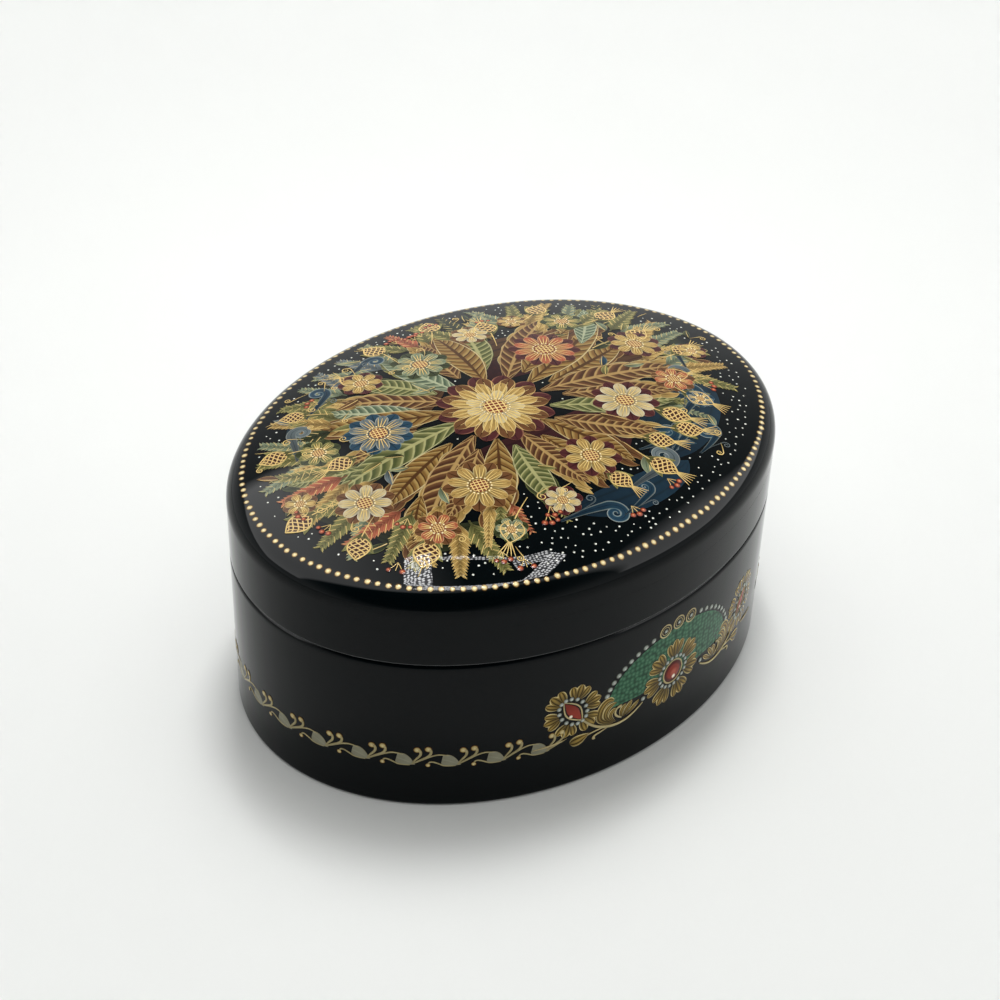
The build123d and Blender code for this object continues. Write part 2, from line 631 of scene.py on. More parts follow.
# The side ornament sits in the middle of the -Y side: three flowers round red cabochons, joined by
# gold acanthus, under an arch of pearls that holds a field of green scales.
mm = 0.001
arch_height, arch_reach, arch_rise = 0.0142, 0.0146, 0.0101
field_reach, field_rise, field_foot = 0.0139, 0.0094, 0.0134
field_lift = 0.000016
scale_size = 0.00085
field_cuts, ring_steps = 13, 16
arch_pearls = 9
arch_pearl_from, arch_pearl_to = math.radians(12), math.radians(67.4)
middle_flower = (-0.0004, 0.0145)
side_flower = (0.0204, 0.0157)
rim_step, petal_step, petal_lift, scroll_lift = 0.000004, 0.000006, 0.00003, 0.00006
pearl_dot, cabochon_dot, glint_dot = (0.00047, 0.00012, 12), (0.002, 0.0002, 24), (0.0004, 0.00005, 12)
cabochon_height, almond_height = 0.00024, 0.0001
petal_paths = (
    [(0.50, 0.10, 0.10), (0.62, 0.22, 0.18), (0.78, 0.33, 0.21), (0.91, 0.40, 0.13), (0.94, 0.42, 0)],
    [(0.50, -0.10, 0.10), (0.62, -0.22, 0.18), (0.78, -0.33, 0.21), (0.91, -0.40, 0.13), (0.94, -0.42, 0)],
    [(0.50, 0.0, 0.12), (0.66, 0.0, 0.22), (0.85, 0.0, 0.24), (0.99, 0.0, 0.14), (1.03, 0.0, 0)],
)
petals = open_pot("ornament_petals", full_brush)
rims = open_pot("ornament_petal_rims", full_brush)
lines = open_pot("ornament_gold_lines", fine_brush)
almonds = open_pot("ornament_almond_cabochons", full_brush)
pearl_places = []


def ornament_flower(place, full_reach, petal_count, spread, first_turn, stretch=0.0, lean=0.0):
    """Draws a ring of three-lobed petals, stretched to an oval, each on its own darker underpainting."""
    for k in range(petal_count):
        turn = first_turn + math.tau * k / petal_count
        reach = full_reach * (1 + stretch * math.cos(2 * (turn - lean)))
        for lobe, path in enumerate(petal_paths):
            narrow = [(along, across * spread, half * spread) for along, across, half in path]
            wide = [(along * 1.03 - 0.02, across, half + 0.035) for along, across, half in narrow]
            stroke(rims, wide, place, turn, reach, rim_step * lobe)
            stroke(petals, narrow, place, turn, reach, petal_lift + petal_step * lobe)


def oval_ring(place, reach_x, reach_y, half_width, lift):
    """Draws a closed gold line round an oval."""
    angles = [math.tau * k / ring_steps for k in range(ring_steps + 1)]
    path = [(reach_x * math.cos(angle), reach_y * math.sin(angle), half_width) for angle in angles]
    stroke(lines, path, place, 0, 1, lift)


def pearl_ring(place, reach_x, reach_y, turn, count):
    """Sets pearls round an oval."""
    for k in range(count):
        angle = math.tau * k / count
        spoke = Matrix.Rotation(turn, 2) @ Vector((reach_x * math.cos(angle), reach_y * math.sin(angle)))
        pearl_places.append((place[0] + spoke.x, place[1] + spoke.y, dot_lift, 0, 1))


ornament_flower(middle_flower, 6.3 * mm, 7, 0.60, math.radians(88))
pearl_ring(middle_flower, 3.05 * mm, 2.9 * mm, 0, 18)
oval_ring(middle_flower, 2.2 * mm, 2.3 * mm, 0.16 * mm, dot_lift)
glint_places = [(middle_flower[0], middle_flower[1] - 0.9 * mm, cabochon_height, 0, 1)]
almond_rim = [(-2.9, 0, 0.10), (-1.7, 0.85, 0.14), (0, 1.45, 0.15), (1.7, 0.85, 0.14), (2.9, 0, 0.10)]
almond = [(-2.6, 0, 0), (-1.7, 0, 0.55), (0, 0, 1.15), (1.7, 0, 0.55), (2.6, 0, 0)]
for side in (-1, 1):
    flower = (side * side_flower[0], side_flower[1])
    lean = side * math.radians(54)
    ornament_flower(flower, 5.2 * mm, 6, 0.72, lean - side * math.radians(9), 0.06, lean)
    pearl_ring(flower, 3.05 * mm, 2.15 * mm, lean, 15)
    for half_rim in (-1, 1):
        stroke(lines, almond_rim, flower, lean, mm, dot_lift, half_rim)
    stroke(almonds, almond, flower, lean, mm, petal_lift)
    glint_places.append((flower[0] - 0.4 * mm, flower[1] - 0.9 * mm, almond_height, 0, 0.8))

acanthus_paths = (
    [(13.0, 10.3, 0.2), (15.4, 11.2, 0.55), (15.6, 13.4, 0.75), (14.6, 15.2, 0.75), (13.2, 15.3, 0.55),
     (12.9, 14.7, 0)],
    [(12.7, 10.2, 0.15), (14.3, 11.4, 0.45), (14.4, 13.2, 0.6), (13.2, 14.3, 0.55), (12.3, 14.2, 0)],
    [(12.3, 10.2, 0.12), (13.3, 11.2, 0.35), (13.4, 12.3, 0.45), (12.7, 13.0, 0.4), (12.2, 12.9, 0)],
    [(11.2, 10.6, 0.15), (11.4, 11.6, 0.4), (10.9, 12.7, 0.5), (10.4, 13.1, 0)],
    [(10.9, 10.6, 0.15), (10.4, 11.6, 0.45), (9.5, 12.9, 0.5), (9.2, 13.3, 0)],
    [(10.3, 10.7, 0.15), (9.4, 11.2, 0.4), (8.2, 12.2, 0.45), (7.7, 12.6, 0)],
    [(20.7, 9.0, 0), (20.5, 9.1, 0.9), (19.2, 9.2, 1.25), (18.0, 9.7, 0.6), (17.2, 9.9, 0)],
)
stem_paths = (
    [(18.8, 13.5, 0.18), (17.2, 11.6, 0.24), (15.0, 10.2, 0.28), (12.0, 9.4, 0.26), (9.0, 10.0, 0.22),
     (6.9, 11.6, 0.12)],
    [(17.6, 9.7, 0.15), (16.6, 10.0, 0.16), (14.2, 10.1, 0.14)],
    [(13.6, 9.8, 0.1), (15.2, 9.3, 0.2), (16.4, 9.0, 0.2), (16.4, 8.4, 0.4), (16.0, 8.3, 0)],
    [(11.4, 13.1, 0.35), (12.1, 13.2, 0.2), (12.6, 12.2, 0.2), (12.2, 11.2, 0.22), (11.2, 10.6, 0.12)],
    [(27.0, 9.6, 0.1), (24.6, 9.7, 0.2), (22.6, 10.0, 0.16), (21.6, 10.2, 0.06)],
)
for side in (-1, 1):
    for order, path in enumerate(acanthus_paths):
        mirrored = [(side * along, across, half) for along, across, half in path]
        wide = [(along, across, half + 0.2) for along, across, half in mirrored]
        stroke(rims, wide, (0, 0), 0, mm, rim_step * order)
        stroke(petals, mirrored, (0, 0), 0, mm, petal_lift + rim_step * order)
    for path in stem_paths:
        mirrored = [(side * along, across, half) for along, across, half in path]
        stroke(lines, mirrored, (0, 0), 0, mm, scroll_lift)
    for k in range(arch_pearls):
        angle = arch_pearl_from + (arch_pearl_to - arch_pearl_from) * k / (arch_pearls - 1)
        place = (side * arch_reach * math.cos(angle), arch_height + arch_rise * math.sin(angle))
        pearl_places.append((*place, 0, 0, 1.2))
    pearl_places.append((side * 6.9 * mm, 12.3 * mm, scroll_lift, 0, 1.15))
for along, height in ((-3.0, 24.1), (0, 24.4), (2.95, 24.1)):
    place = (along * mm, height * mm)
    oval_ring(place, 1.2 * mm, 1.2 * mm, 0.14 * mm, 0)
    oval_ring(place, 0.75 * mm, 0.75 * mm, 0.07 * mm, 0)
    pearl_places.append((*place, 0.00002, 0, 0.9))

bpy.ops.object.select_all(action="DESELECT")
bpy.ops.mesh.primitive_circle_add(vertices=96, radius=1, fill_type="NGON", enter_editmode=True)
field = bpy.context.object
field.name = "ornament_green_field"
bpy.ops.transform.resize(value=(field_reach, field_rise, 1))
bpy.ops.transform.translate(value=(0, arch_height, field_lift))
bpy.ops.mesh.bisect(plane_co=(0, field_foot, 0), plane_no=(0, 1, 0), clear_inner=True)
for k in range(-field_cuts, field_cuts + 1):
    bpy.ops.mesh.select_all(action="SELECT")
    bpy.ops.mesh.bisect(plane_co=(k * mm, 0, 0), plane_no=(1, 0, 0))
bpy.ops.object.mode_set(mode="OBJECT")


def grains(tree, place, across, strayed):
    """How far a place is from the middle of its own grain. The grains stray from an even grid."""
    spread = add_node(tree, "VectorMath", {0: place, 1: across}, operation="MULTIPLY")
    feeds = {"Vector": spread, "Scale": 1, "Randomness": strayed}
    return add_node(tree, "TexVoronoi", feeds, "Distance", voronoi_dimensions="2D")


green, green_tree, _ = new_material("green_scales")
field_uv = add_node(green_tree, "TexCoord", {}, "UV")
scales_across = (2 * field_reach / scale_size, 2 * field_rise / scale_size, 1)
scales = grains(green_tree, field_uv, scales_across, 0.55)
scale_stops = [(0.0, tone((78, 126, 94))), (0.30, tone((56, 102, 74))), (0.62, tone((33, 66, 48)))]
mix_paint(green, add_ramp(green_tree, scales, scale_stops), 0.25, roughness=0.5)
paint_wall(field, green)
rim_brown = stroke_paint("rim_brown", ((48, 35, 18), (30, 21, 11), (48, 35, 18)))
petal_tones = ((154, 127, 60), (224, 209, 150), (30, 21, 8))
petal_gold = stroke_paint("petal_gold", petal_tones, 2, 0.34, rim=0.15, fine=0.11)
line_gold = stroke_paint("ornament_gold", ((180, 165, 120), (124, 102, 58), (204, 190, 144)), 1, 0.8, 0.1)
almond_red = stroke_paint("almond_red", ((140, 52, 39), (80, 24, 19), (140, 52, 39)), 1, 0.55)
# Pearls, the round cabochon and the glints have a painted highlight in the middle and painted shade towards
# the rim.
pearl_silver = dot_paint_with_painted_light("pearl_silver", (196, 200, 190), (148, 154, 146), (64, 66, 58), metal=0.1)
ruby_red = dot_paint_with_painted_light("ruby_red", (172, 84, 62), (134, 50, 37), (76, 24, 19))
white_glint = dot_paint_with_painted_light("white_glint", (248, 244, 230), (240, 232, 214), (220, 190, 160))
ruby_places = [(*middle_flower, petal_lift, 0, 1)]
paint_wall(dry(rims), rim_brown)
paint_wall(dry(petals), petal_gold)
paint_wall(dry(lines), line_gold)
dots_on_wall("ornament_pearls", pearl_dot, pearl_places, pearl_silver)
dots_on_wall("ornament_round_cabochon", cabochon_dot, ruby_places, ruby_red)
paint_wall(dry(almonds), almond_red)
dots_on_wall("ornament_glints", glint_dot, glint_places, white_glint)


# The lid's picture is a bouquet in oil colours, in the common manner of painted trays and boxes. The
# deep tones of its ground are laid in first, with a broad flat brush and hardly any body.
picture_share = 0.96
ground_lift, picture_lift, line_lift = 0.000008, 0.00001, 0.000011
coat_step = 0.0000012
cell = 0.4
taken = set()
coats = itertools.cycle(range(1, 5))
oil_tones = {
    "ochre": ((156, 127, 71), (182, 165, 117), (87, 59, 27)),
    "brown": ((93, 61, 36), (161, 131, 80), (46, 27, 17)),
    "maroon": ((68, 32, 32), (124, 81, 63), (39, 17, 20)),
    "olive": ((106, 104, 59), (156, 151, 95), (48, 53, 28)),
    "sage": ((110, 120, 95), (159, 162, 129), (61, 73, 54)),
    "steel": ((90, 100, 102), (143, 148, 142), (48, 59, 64)),
    "teal": ((32, 57, 74), (87, 114, 117), (22, 36, 44)),
    "salmon": ((156, 85, 59), (182, 142, 103), (103, 46, 29)),
    "cream": ((176, 162, 124), (193, 185, 161), (131, 100, 59)),
    "moss": ((48, 54, 32), (90, 95, 56), (24, 28, 17)),
}
flat_brush = add_brush("flat_brush", 0.001, 0)
liner_brush = add_brush("liner_brush", 0.12)
oils = {name: open_pot(f"picture_{name}_strokes", flat_brush) for name in oil_tones}
ground_tones = ("maroon", "brown", "moss", "teal")
grounds = {name: open_pot(f"picture_{name}_ground", flat_brush) for name in ground_tones}
liner = open_pot("picture_gold_lines", liner_brush)
under_shares = (
    (0, 0, 0.3), (0.12, 0.45, 0.8), (0.4, 0.95, 1.0), (0.7, 0.85, 0.9), (0.93, 0.3, 0.5), (1, 0, 0),
)
under_rows = (
    ("maroon", (-17, -6), (15, -9), -4.0, 4.4), ("maroon", (-7, -17), (11, -15), -2.0, 3.4),
    ("maroon", (2, 9), (21, 2), 3.0, 3.8), ("brown", (-24, 4), (-3, 12), 3.0, 4.2),
    ("brown", (0, 15), (23, 9), 3.0, 4.0), ("brown", (-21, -2), (-10, -13), -2.0, 3.6),
    ("brown", (13, -4), (32, -3), 1.6, 3.2), ("moss", (-38, -3), (-25, 17), 4.5, 3.2),
    ("moss", (-22, 21), (-2, 27), 2.4, 2.8), ("moss", (8, 26), (30, 16), 2.4, 3.0),
    ("moss", (-36, -8), (-21, -19), -3.0, 2.8), ("moss", (35, 9), (37, -7), 1.4, 2.6),
    ("teal", (-10, -25), (13, -27), -2.0, 3.4), ("teal", (9, -23.5), (33, -11), -3.4, 4.2),
    ("teal", (12, -18), (30, -9), -2.6, 3.6), ("teal", (-30, 19), (-17, 25), 1.0, 2.0),
)


def spot(root, turn, along, across):
    """The place along and across from a root, after a turn, in millimetres."""
    cosine, sine = math.cos(turn), math.sin(turn)
    return root[0] + along * cosine - across * sine, root[1] + along * sine + across * cosine


def in_picture(x, y, share=picture_share):
    """Whether a place in millimetres lies within a share of the bead border."""
    return math.hypot(x * mm / border_x, y * mm / border_y) < share


def square_of(x, y):
    """The small square of lacquer that a place lies in."""
    return round(x / cell), round(y / cell)


def mark(x, y, reach):
    """Notes that the lacquer near a place is painted over."""
    span = math.ceil(reach / cell)
    middle = square_of(x, y)
    for step in itertools.product(range(-span, span + 1), repeat=2):
        if math.hypot(*step) * cell <= reach + cell / 2:
            taken.add((middle[0] + step[0], middle[1] + step[1]))


def paint(pot, path, root=(0, 0), turn=0.0, coat=0, size=1.0, flip=1):
    """Draws one stroke of the picture, in millimetres, unless it would run over the bead border."""
    samples = []
    for before, after in zip(path, path[1:]):
        for part in (0, 0.33, 0.67, 1):
            along, across, half = ((a + (b - a) * part) * size for a, b in zip(before, after))
            samples.append((*spot(root, turn, along, across * flip), half))
    if not all(in_picture(x, y) for x, y, half in samples):
        return
    stroke(pot, path, (root[0] * mm, root[1] * mm), turn, size * mm, coat * coat_step, flip)
    for x, y, half in samples:
        mark(x, y, half + 0.2)


for name, start, end, bend, half in under_rows:
    length, turn = math.dist(start, end), math.atan2(end[1] - start[1], end[0] - start[0])
    path = [(length * share, -bend * rise, half * wide) for share, rise, wide in under_shares]
    paint(grounds[name], path, start, turn, next(coats), flip=-1)


# Great ribbed leaves sweep out from the middle of the bouquet. Each is one loaded stroke of the flat
# brush with hooked lobes under it, then ribbed with the tip of the liner.
leaf_shares = ((0, 0.1), (0.18, 0.62), (0.45, 1.0), (0.72, 0.78), (0.9, 0.32), (1.0, 0))
hook_path = [(0, 0, 0.14), (0.5, 0.08, 0.30), (0.92, 0.34, 0.20), (1.04, 0.62, 0.04), (1.05, 0.7, 0)]
ribbed_tones = {
    "ochre": ((152, 127, 72), (111, 81, 41), (68, 43, 22), (177, 162, 118)),
    "brown": ((97, 65, 40), (64, 39, 25), (152, 124, 76), (158, 131, 86)),
    "olive": ((104, 104, 62), (65, 71, 39), (146, 143, 96), (154, 150, 109)),
    "sage": ((108, 118, 93), (69, 83, 64), (150, 155, 125), (158, 161, 136)),
}
lobe_tones = {"ochre": "brown", "brown": "ochre", "olive": "moss", "sage": "olive"}
ribbed_pots = {name: open_pot(f"picture_ribbed_{name}_leaves", flat_brush, 6) for name in ribbed_tones}
leaf_rows = (
    ("brown", (-13, 3), 161, 17, 3.2, 0.10), ("sage", (-11, 8), 136, 17, 3.0, -0.12),
    ("olive", (-6, 11), 110, 15, 2.8, 0.12), ("brown", (0, 12), 80, 15, 3.0, -0.10),
    ("olive", (5, 11), 54, 17, 3.0, 0.12), ("ochre", (9, 6), 26, 19, 3.2, -0.10),
    ("ochre", (10, 1), 0, 20, 3.2, 0.10), ("brown", (9, -3), -25, 19, 3.2, -0.12),
    ("brown", (3, -7), -54, 17, 3.0, 0.12), ("ochre", (-2, -9), -84, 14, 2.8, -0.10),
    ("olive", (-7, -8), -114, 15, 2.8, 0.12), ("brown", (-12, -5), -143, 17, 3.0, -0.12),
    ("ochre", (-14, -1), -172, 18, 3.0, 0.10),
    ("olive", (-8, 2), 172, 27, 3.3, 0.10), ("ochre", (-8, 5), 150, 25, 3.4, -0.12),
    ("brown", (-6, 7), 124, 21, 3.0, 0.16), ("sage", (-3, 8), 98, 20, 2.8, -0.10),
    ("ochre", (2, 8), 66, 20, 3.2, 0.12), ("brown", (5, 6), 38, 25, 3.4, -0.14),
    ("ochre", (7, 3), 12, 28, 3.6, 0.12), ("brown", (7, 0), -12, 27, 3.4, -0.10),
    ("olive", (5, -4), -38, 22, 3.0, 0.14), ("ochre", (1, -6), -68, 17, 3.0, -0.12),
    ("brown", (-4, -6), -98, 16, 2.8, 0.12), ("ochre", (-8, -5), -128, 21, 3.3, -0.14),
    ("brown", (-10, -2), -158, 25, 3.4, 0.12), ("sage", (24, 7), 34, 15, 2.3, 0.14),
    ("ochre", (25, -3), -22, 15, 2.4, -0.16), ("olive", (-27, 4), 156, 13, 2.2, -0.14),
    ("ochre", (-26, -7), -146, 13, 2.2, 0.16),
)
coats = itertools.cycle(range(6, 30, 4))


def along_curl(root, turn, length, curl, share):
    """The place at a share of a curling line's length, and the line's direction there."""
    return spot(root, turn, share * length, curl * length * share * share), turn + math.atan(2 * curl * share)


def ribbed_paint(name, swatches, ribs=13, slant=3.2):
    """Paint of a great leaf: slanting ribs on both sides of a midrib, and a pale edge."""
    material, tree, _ = new_material(name)
    along, across = stroke_way(tree)
    body, shade, rib, edge = map(tone, swatches)
    side = maths(tree, "ABSOLUTE", maths(tree, "SUBTRACT", across, 0.5))
    swept = maths(tree, "MULTIPLY_ADD", side, -slant, maths(tree, "MULTIPLY", along, ribs))
    stops = [(0, rib), (0.14, rib), (0.24, body), (0.70, shade), (0.94, shade), (1, rib)]
    ribbed = add_ramp(tree, maths(tree, "FRACT", swept), stops)
    mask_stops = ((0, 1), (0.03, 1), (0.05, 0), (0.39, 0), (0.43, 1))
    mask = add_ramp(tree, side, [(place, grey(level)) for place, level in mask_stops])
    trim = add_ramp(tree, side, [(0.1, rib), (0.3, edge)])
    return mix_paint(material, blend(tree, mask, ribbed, trim), 0.2)


for name, root, degrees, length, half, curl in leaf_rows:
    turn = math.radians(degrees)
    under, over = next(coats), next(coats)
    for k in range(5):
        share = 0.16 + 0.15 * k
        place, way = along_curl(root, turn, length, curl, share)
        for side in (-1, 1):
            lobe = way + side * math.radians(40)
            lobe_size = half * (1.75 - 1.1 * abs(share - 0.42))
            paint(oils[lobe_tones[name]], hook_path, place, lobe, under, lobe_size, -side)
    leaf = [(length * s, curl * length * s * s, half * 0.95 * wide) for s, wide in leaf_shares]
    paint(ribbed_pots[name], leaf, root, turn, over)


# Fronds and ears of corn fan out from between the flowers to the bead border. A frond is a spine
# with pairs of short touches that grow smaller to its tip, an ear has fatter grains and gold awns.
coats = itertools.cycle(range(32, 48, 2))
frond_reach, front_reach = 11.0, 6.8
leaflet_path = [(0, 0, 0.07), (0.34, 0.05, 0.17), (0.74, 0.04, 0.14), (1.02, -0.03, 0)]
grain_path = [(0, 0, 0.08), (0.30, 0.03, 0.30), (0.72, 0.02, 0.26), (1.0, 0, 0)]
fan_rows = (
    (0, 0.66, "olive sage ochre"), (17, 0.70, "sage olive moss"), (33, 0.66, "olive sage olive"),
    (50, 0.70, "ochre olive sage"), (68, 0.64, "sage moss olive"), (84, 0.70, "olive salmon olive"),
    (101, 0.66, "sage steel sage"), (118, 0.70, "steel sage olive"), (136, 0.66, "olive ochre moss"),
    (152, 0.70, "sage olive sage"), (168, 0.66, "olive salmon ochre"), (185, 0.70, "olive olive sage"),
    (201, 0.66, "salmon olive ochre"), (217, 0.68, "olive ochre olive"), (231, 0.60, "olive salmon"),
    (246, 0.58, "olive"), (318, 0.62, "sage olive"), (341, 0.66, "olive ochre sage"),
)
ear_rows = (
    (-8, 0.60), (9, 0.62), (42, 0.60), (60, 0.58), (110, 0.58), (127, 0.60), (160, 0.62), (178, 0.60),
    (209, 0.60), (226, 0.60), (333, 0.62),
)


def room_left(x, y, turn):
    """How far it is from a place to the picture's limit, in one direction, in millimetres."""
    reach_x, reach_y = border_x * picture_share / mm, border_y * picture_share / mm
    way = (math.cos(turn) / reach_x, math.sin(turn) / reach_y)
    here = (x / reach_x, y / reach_y)
    square = way[0] ** 2 + way[1] ** 2
    half = way[0] * here[0] + way[1] * here[1]
    return (-half + math.sqrt(half**2 - square * (here[0] ** 2 + here[1] ** 2 - 1))) / square


def frond(pot, root, turn, length, curl, pairs, touch, touch_share, spread):
    """Draws a spine and pairs of touches along it, from the root to the tip."""
    coat = next(coats)
    spine = [(length * s, curl * length * s * s, 0.15 - 0.08 * s) for s in (0, 0.25, 0.5, 0.75, 1)]
    paint(pot, spine, root, turn, coat)
    for k in range(pairs):
        share = 0.10 + 0.84 * k / (pairs - 1)
        place, heading = along_curl(root, turn, length, curl, share)
        size = length * touch_share * (1 - 0.58 * share) * chance.uniform(0.9, 1.1)
        for side in (-1, 1):
            way = heading + side * math.radians(spread)
            paint(pot, touch, place, way, coat + 0.5, size, -side)
            if k % 2:
                paint(liner, [(0.35, 0.05, 0.03), (1.0, -0.02, 0.012)], place, way, coat + 1, size, -side)


def border_spot(degrees, share):
    """A place at a share of the way to the bead border, and the direction outwards there."""
    x, y = border_x / mm * math.cos(math.radians(degrees)), border_y / mm * math.sin(math.radians(degrees))
    return (x * share, y * share), math.atan2(y / border_y**2, x / border_x**2)


for degrees, share, names in fan_rows:
    tones = names.split()
    for k, name in enumerate(tones):
        aside = k - (len(tones) - 1) / 2
        root, outwards = border_spot(degrees + 3.2 * aside, share)
        turn = outwards + math.radians(22) * aside + chance.uniform(-0.08, 0.08)
        length = min(room_left(*root, turn) - 0.4, frond_reach if len(tones) == 3 else front_reach)
        pairs = max(6, round(length / 0.8))
        frond(oils[name], root, turn, length, 0.06 * aside, pairs, leaflet_path, 0.30, 36)
for degrees, share in ear_rows:
    root, outwards = border_spot(degrees, share)
    turn = outwards + chance.uniform(-0.3, 0.3)
    length = min(room_left(*root, turn) - 1.6, 8.5)
    frond(oils["ochre"], root, turn, length, 0.05, 9, grain_path, 0.26, 24)
    coat = next(coats)
    for k in range(9):
        place, _ = along_curl(root, turn, length, 0.05, 0.2 + 0.09 * k)
        awn = [(0.5, 0, 0.05), (1.4, 0.08, 0.06), (2.5 - 0.1 * k, 0.2, 0.02)]
        for side in (-1, 1):
            paint(liner, awn, place, turn + side * math.radians(15), coat, 1.0, side)


# Scrolls of deep teal wind along the front of the bouquet and at its back, each with pale edges and a
# finer spiral inside.
coats = itertools.cycle(range(50, 58, 2))
scroll_rows = (
    ((-14, -25), -8, 9.0, 0.10, 1.9, -1), ((0, -26.5), 6, 10.0, -0.08, 2.1, 1),
    ((12, -24.5), 24, 9.0, 0.12, 1.8, -1), ((20, -19.5), 30, 8.5, -0.14, 2.2, 1),
    ((8, -21.0), -14, 7.5, 0.12, 1.6, 1), ((27, -15.5), 52, 7.0, -0.10, 1.7, 1),
    ((16, -27.0), 8, 7.0, 0.16, 1.4, 1), ((-5, -30.0), 4, 7.5, 0.10, 1.3, 1),
    ((33, -9.0), 64, 6.5, 0.10, 1.5, -1), ((-33, 14), 52, 7.5, -0.12, 1.7, -1),
    ((-24, 22.5), 18, 7.5, 0.10, 1.6, 1), ((-12, 27.0), 12, 7.0, -0.10, 1.5, -1),
)


def winding(length, curl, wind, half, tip_half):
    """A line that runs out and then winds into a spiral."""
    path = [(length * s, curl * length * s * s, half * (0.25 + 0.75 * s)) for s in (0, 0.3, 0.6, 0.9)]
    heading = math.atan(2 * curl)
    middle = (length - wind * math.sin(heading), curl * length + wind * math.cos(heading))
    for k in range(11):
        angle = heading - math.pi / 2 + k * math.radians(48)
        reach = wind * (1 - k / 13)
        wide = half + (tip_half - half) * k / 10
        path.append((middle[0] + reach * math.cos(angle), middle[1] + reach * math.sin(angle), wide))
    return path


for root, degrees, length, curl, wind, flip in scroll_rows:
    turn = math.radians(degrees)
    edge = winding(length, curl, wind, wind * 0.40 + 0.14, 0.26)
    body = winding(length, curl, wind, wind * 0.40, 0.14)
    inner = winding(length * 0.8, curl, wind * 0.5, 0.09, 0.06)
    for name, path, way in (("steel", edge, flip), ("teal", body, flip), ("steel", inner, -flip)):
        paint(oils[name], path, root, turn, next(coats), 1.0, way)


# Round flowers crown the bouquet, the great one off the middle. Each has a back and a front ring of
# petals, fine gold veins, a latticed heart and a ring of cream dots.
coats = itertools.cycle((60, 64))
vein_path = [(0.35, 0.5, 0.1), (0.62, 1, 0.09), (0.86, 1.25, 0.03)]
petal_path = [(0.16, 0, 0.08), (0.45, 0, 0.22), (0.78, 0, 0.25), (0.96, 0, 0.14), (1.0, 0, 0)]
flower_rows = (
    ((17.5, 9.5), 6.2, 10, "maroon", "salmon", 0.2), ((-20, 9.5), 5.8, 9, "teal", "steel", 0.0),
    ((16, -10.5), 5.8, 9, "maroon", "cream", 0.3), ((-18, -11.5), 5.8, 9, "brown", "ochre", 0.1),
    ((-1, 20.5), 5.2, 8, "moss", "sage", 0.2), ((0.5, -17.5), 5.0, 8, "maroon", "ochre", 0.4),
    ((31.5, 1.5), 4.8, 8, "maroon", "ochre", 0.1), ((-33, -2.0), 4.8, 8, "brown", "cream", 0.0),
    ((28.0, 15.5), 3.9, 7, "moss", "olive", 0.3), ((-11.5, 23.5), 3.9, 7, "maroon", "ochre", 0.2),
    ((12.5, 22.5), 3.7, 7, "brown", "cream", 0.5), ((28.0, -10.5), 3.9, 7, "brown", "salmon", 0.0),
    ((-29.5, 13.0), 3.7, 7, "moss", "olive", 0.1), ((-29.0, -14.0), 3.6, 7, "brown", "salmon", 0.4),
    ((-10.5, -22.0), 3.3, 7, "maroon", "cream", 0.0), ((27.5, -17.0), 2.6, 6, "teal", "steel", 0.2),
    ((38.5, -5.5), 2.8, 6, "maroon", "ochre", 0.2), ((-39.5, 5.5), 2.8, 6, "brown", "ochre", 0.2),
    ((21.5, 21.5), 2.8, 6, "brown", "ochre", 0.2), ((-21.0, -21.5), 2.8, 6, "moss", "sage", 0.2),
)
great_place, great_coat = (-2.0, 1.5), 60
great_rings = (
    ("maroon", 9.8, 12, 0.13, 0, 0.78, 0), ("brown", 9.0, 12, 0.0, 2, 0.70, 3),
    ("ochre", 7.4, 12, 0.13, 5, 0.70, 3), ("cream", 4.9, 9, 0.0, 8, 0.86, 3),
)
vein_spread = 0.11
heart_places, heart_dots = [], []


def petal_ring(pot, place, reach, count, turn, coat, width=1.0, veins=0):
    """Draws a ring of petals, each with its gold veins."""
    broad = [(along, across, half * width) for along, across, half in petal_path]
    for k in range(count):
        angle = turn + math.tau * k / count
        paint(pot, broad, place, angle, coat, reach)
        for vein in range(veins):
            lean = (vein - (veins - 1) / 2) * vein_spread
            line = [(along, lean * part, half / reach) for along, part, half in vein_path]
            paint(liner, line, place, angle, coat + 1.5, reach)


def add_heart(place, coat, size, dots, reach):
    """Sets a latticed heart in a flower, with a ring of dots round it."""
    heart_places.append((place[0] * mm, place[1] * mm, coat * coat_step, 0.4, size))
    for k in range(dots):
        x, y = spot(place, math.tau * k / dots, reach, 0)
        heart_dots.append((x * mm, y * mm, (coat + 1) * coat_step, 0, 0.8))


for place, reach, count, back, front, turn in flower_rows:
    coat = next(coats) + 2
    petal_ring(oils[back], place, reach, count, turn + math.pi / count, coat, 1.1 * 8 / count)
    petal_ring(oils[front], place, reach * 0.86, count, turn, coat + 3, 8 / count, 3)
    dots = max(9, round(math.tau * reach * 0.31 / 0.62))
    add_heart(place, coat + 5, reach * 0.26, dots, reach * 0.32)
for name, reach, count, turn, coat, width, veins in great_rings:
    petal_ring(oils[name], great_place, reach, count, turn, great_coat + coat, width, veins)
add_heart(great_place, great_coat + 12, 2.0, 24, 2.4)


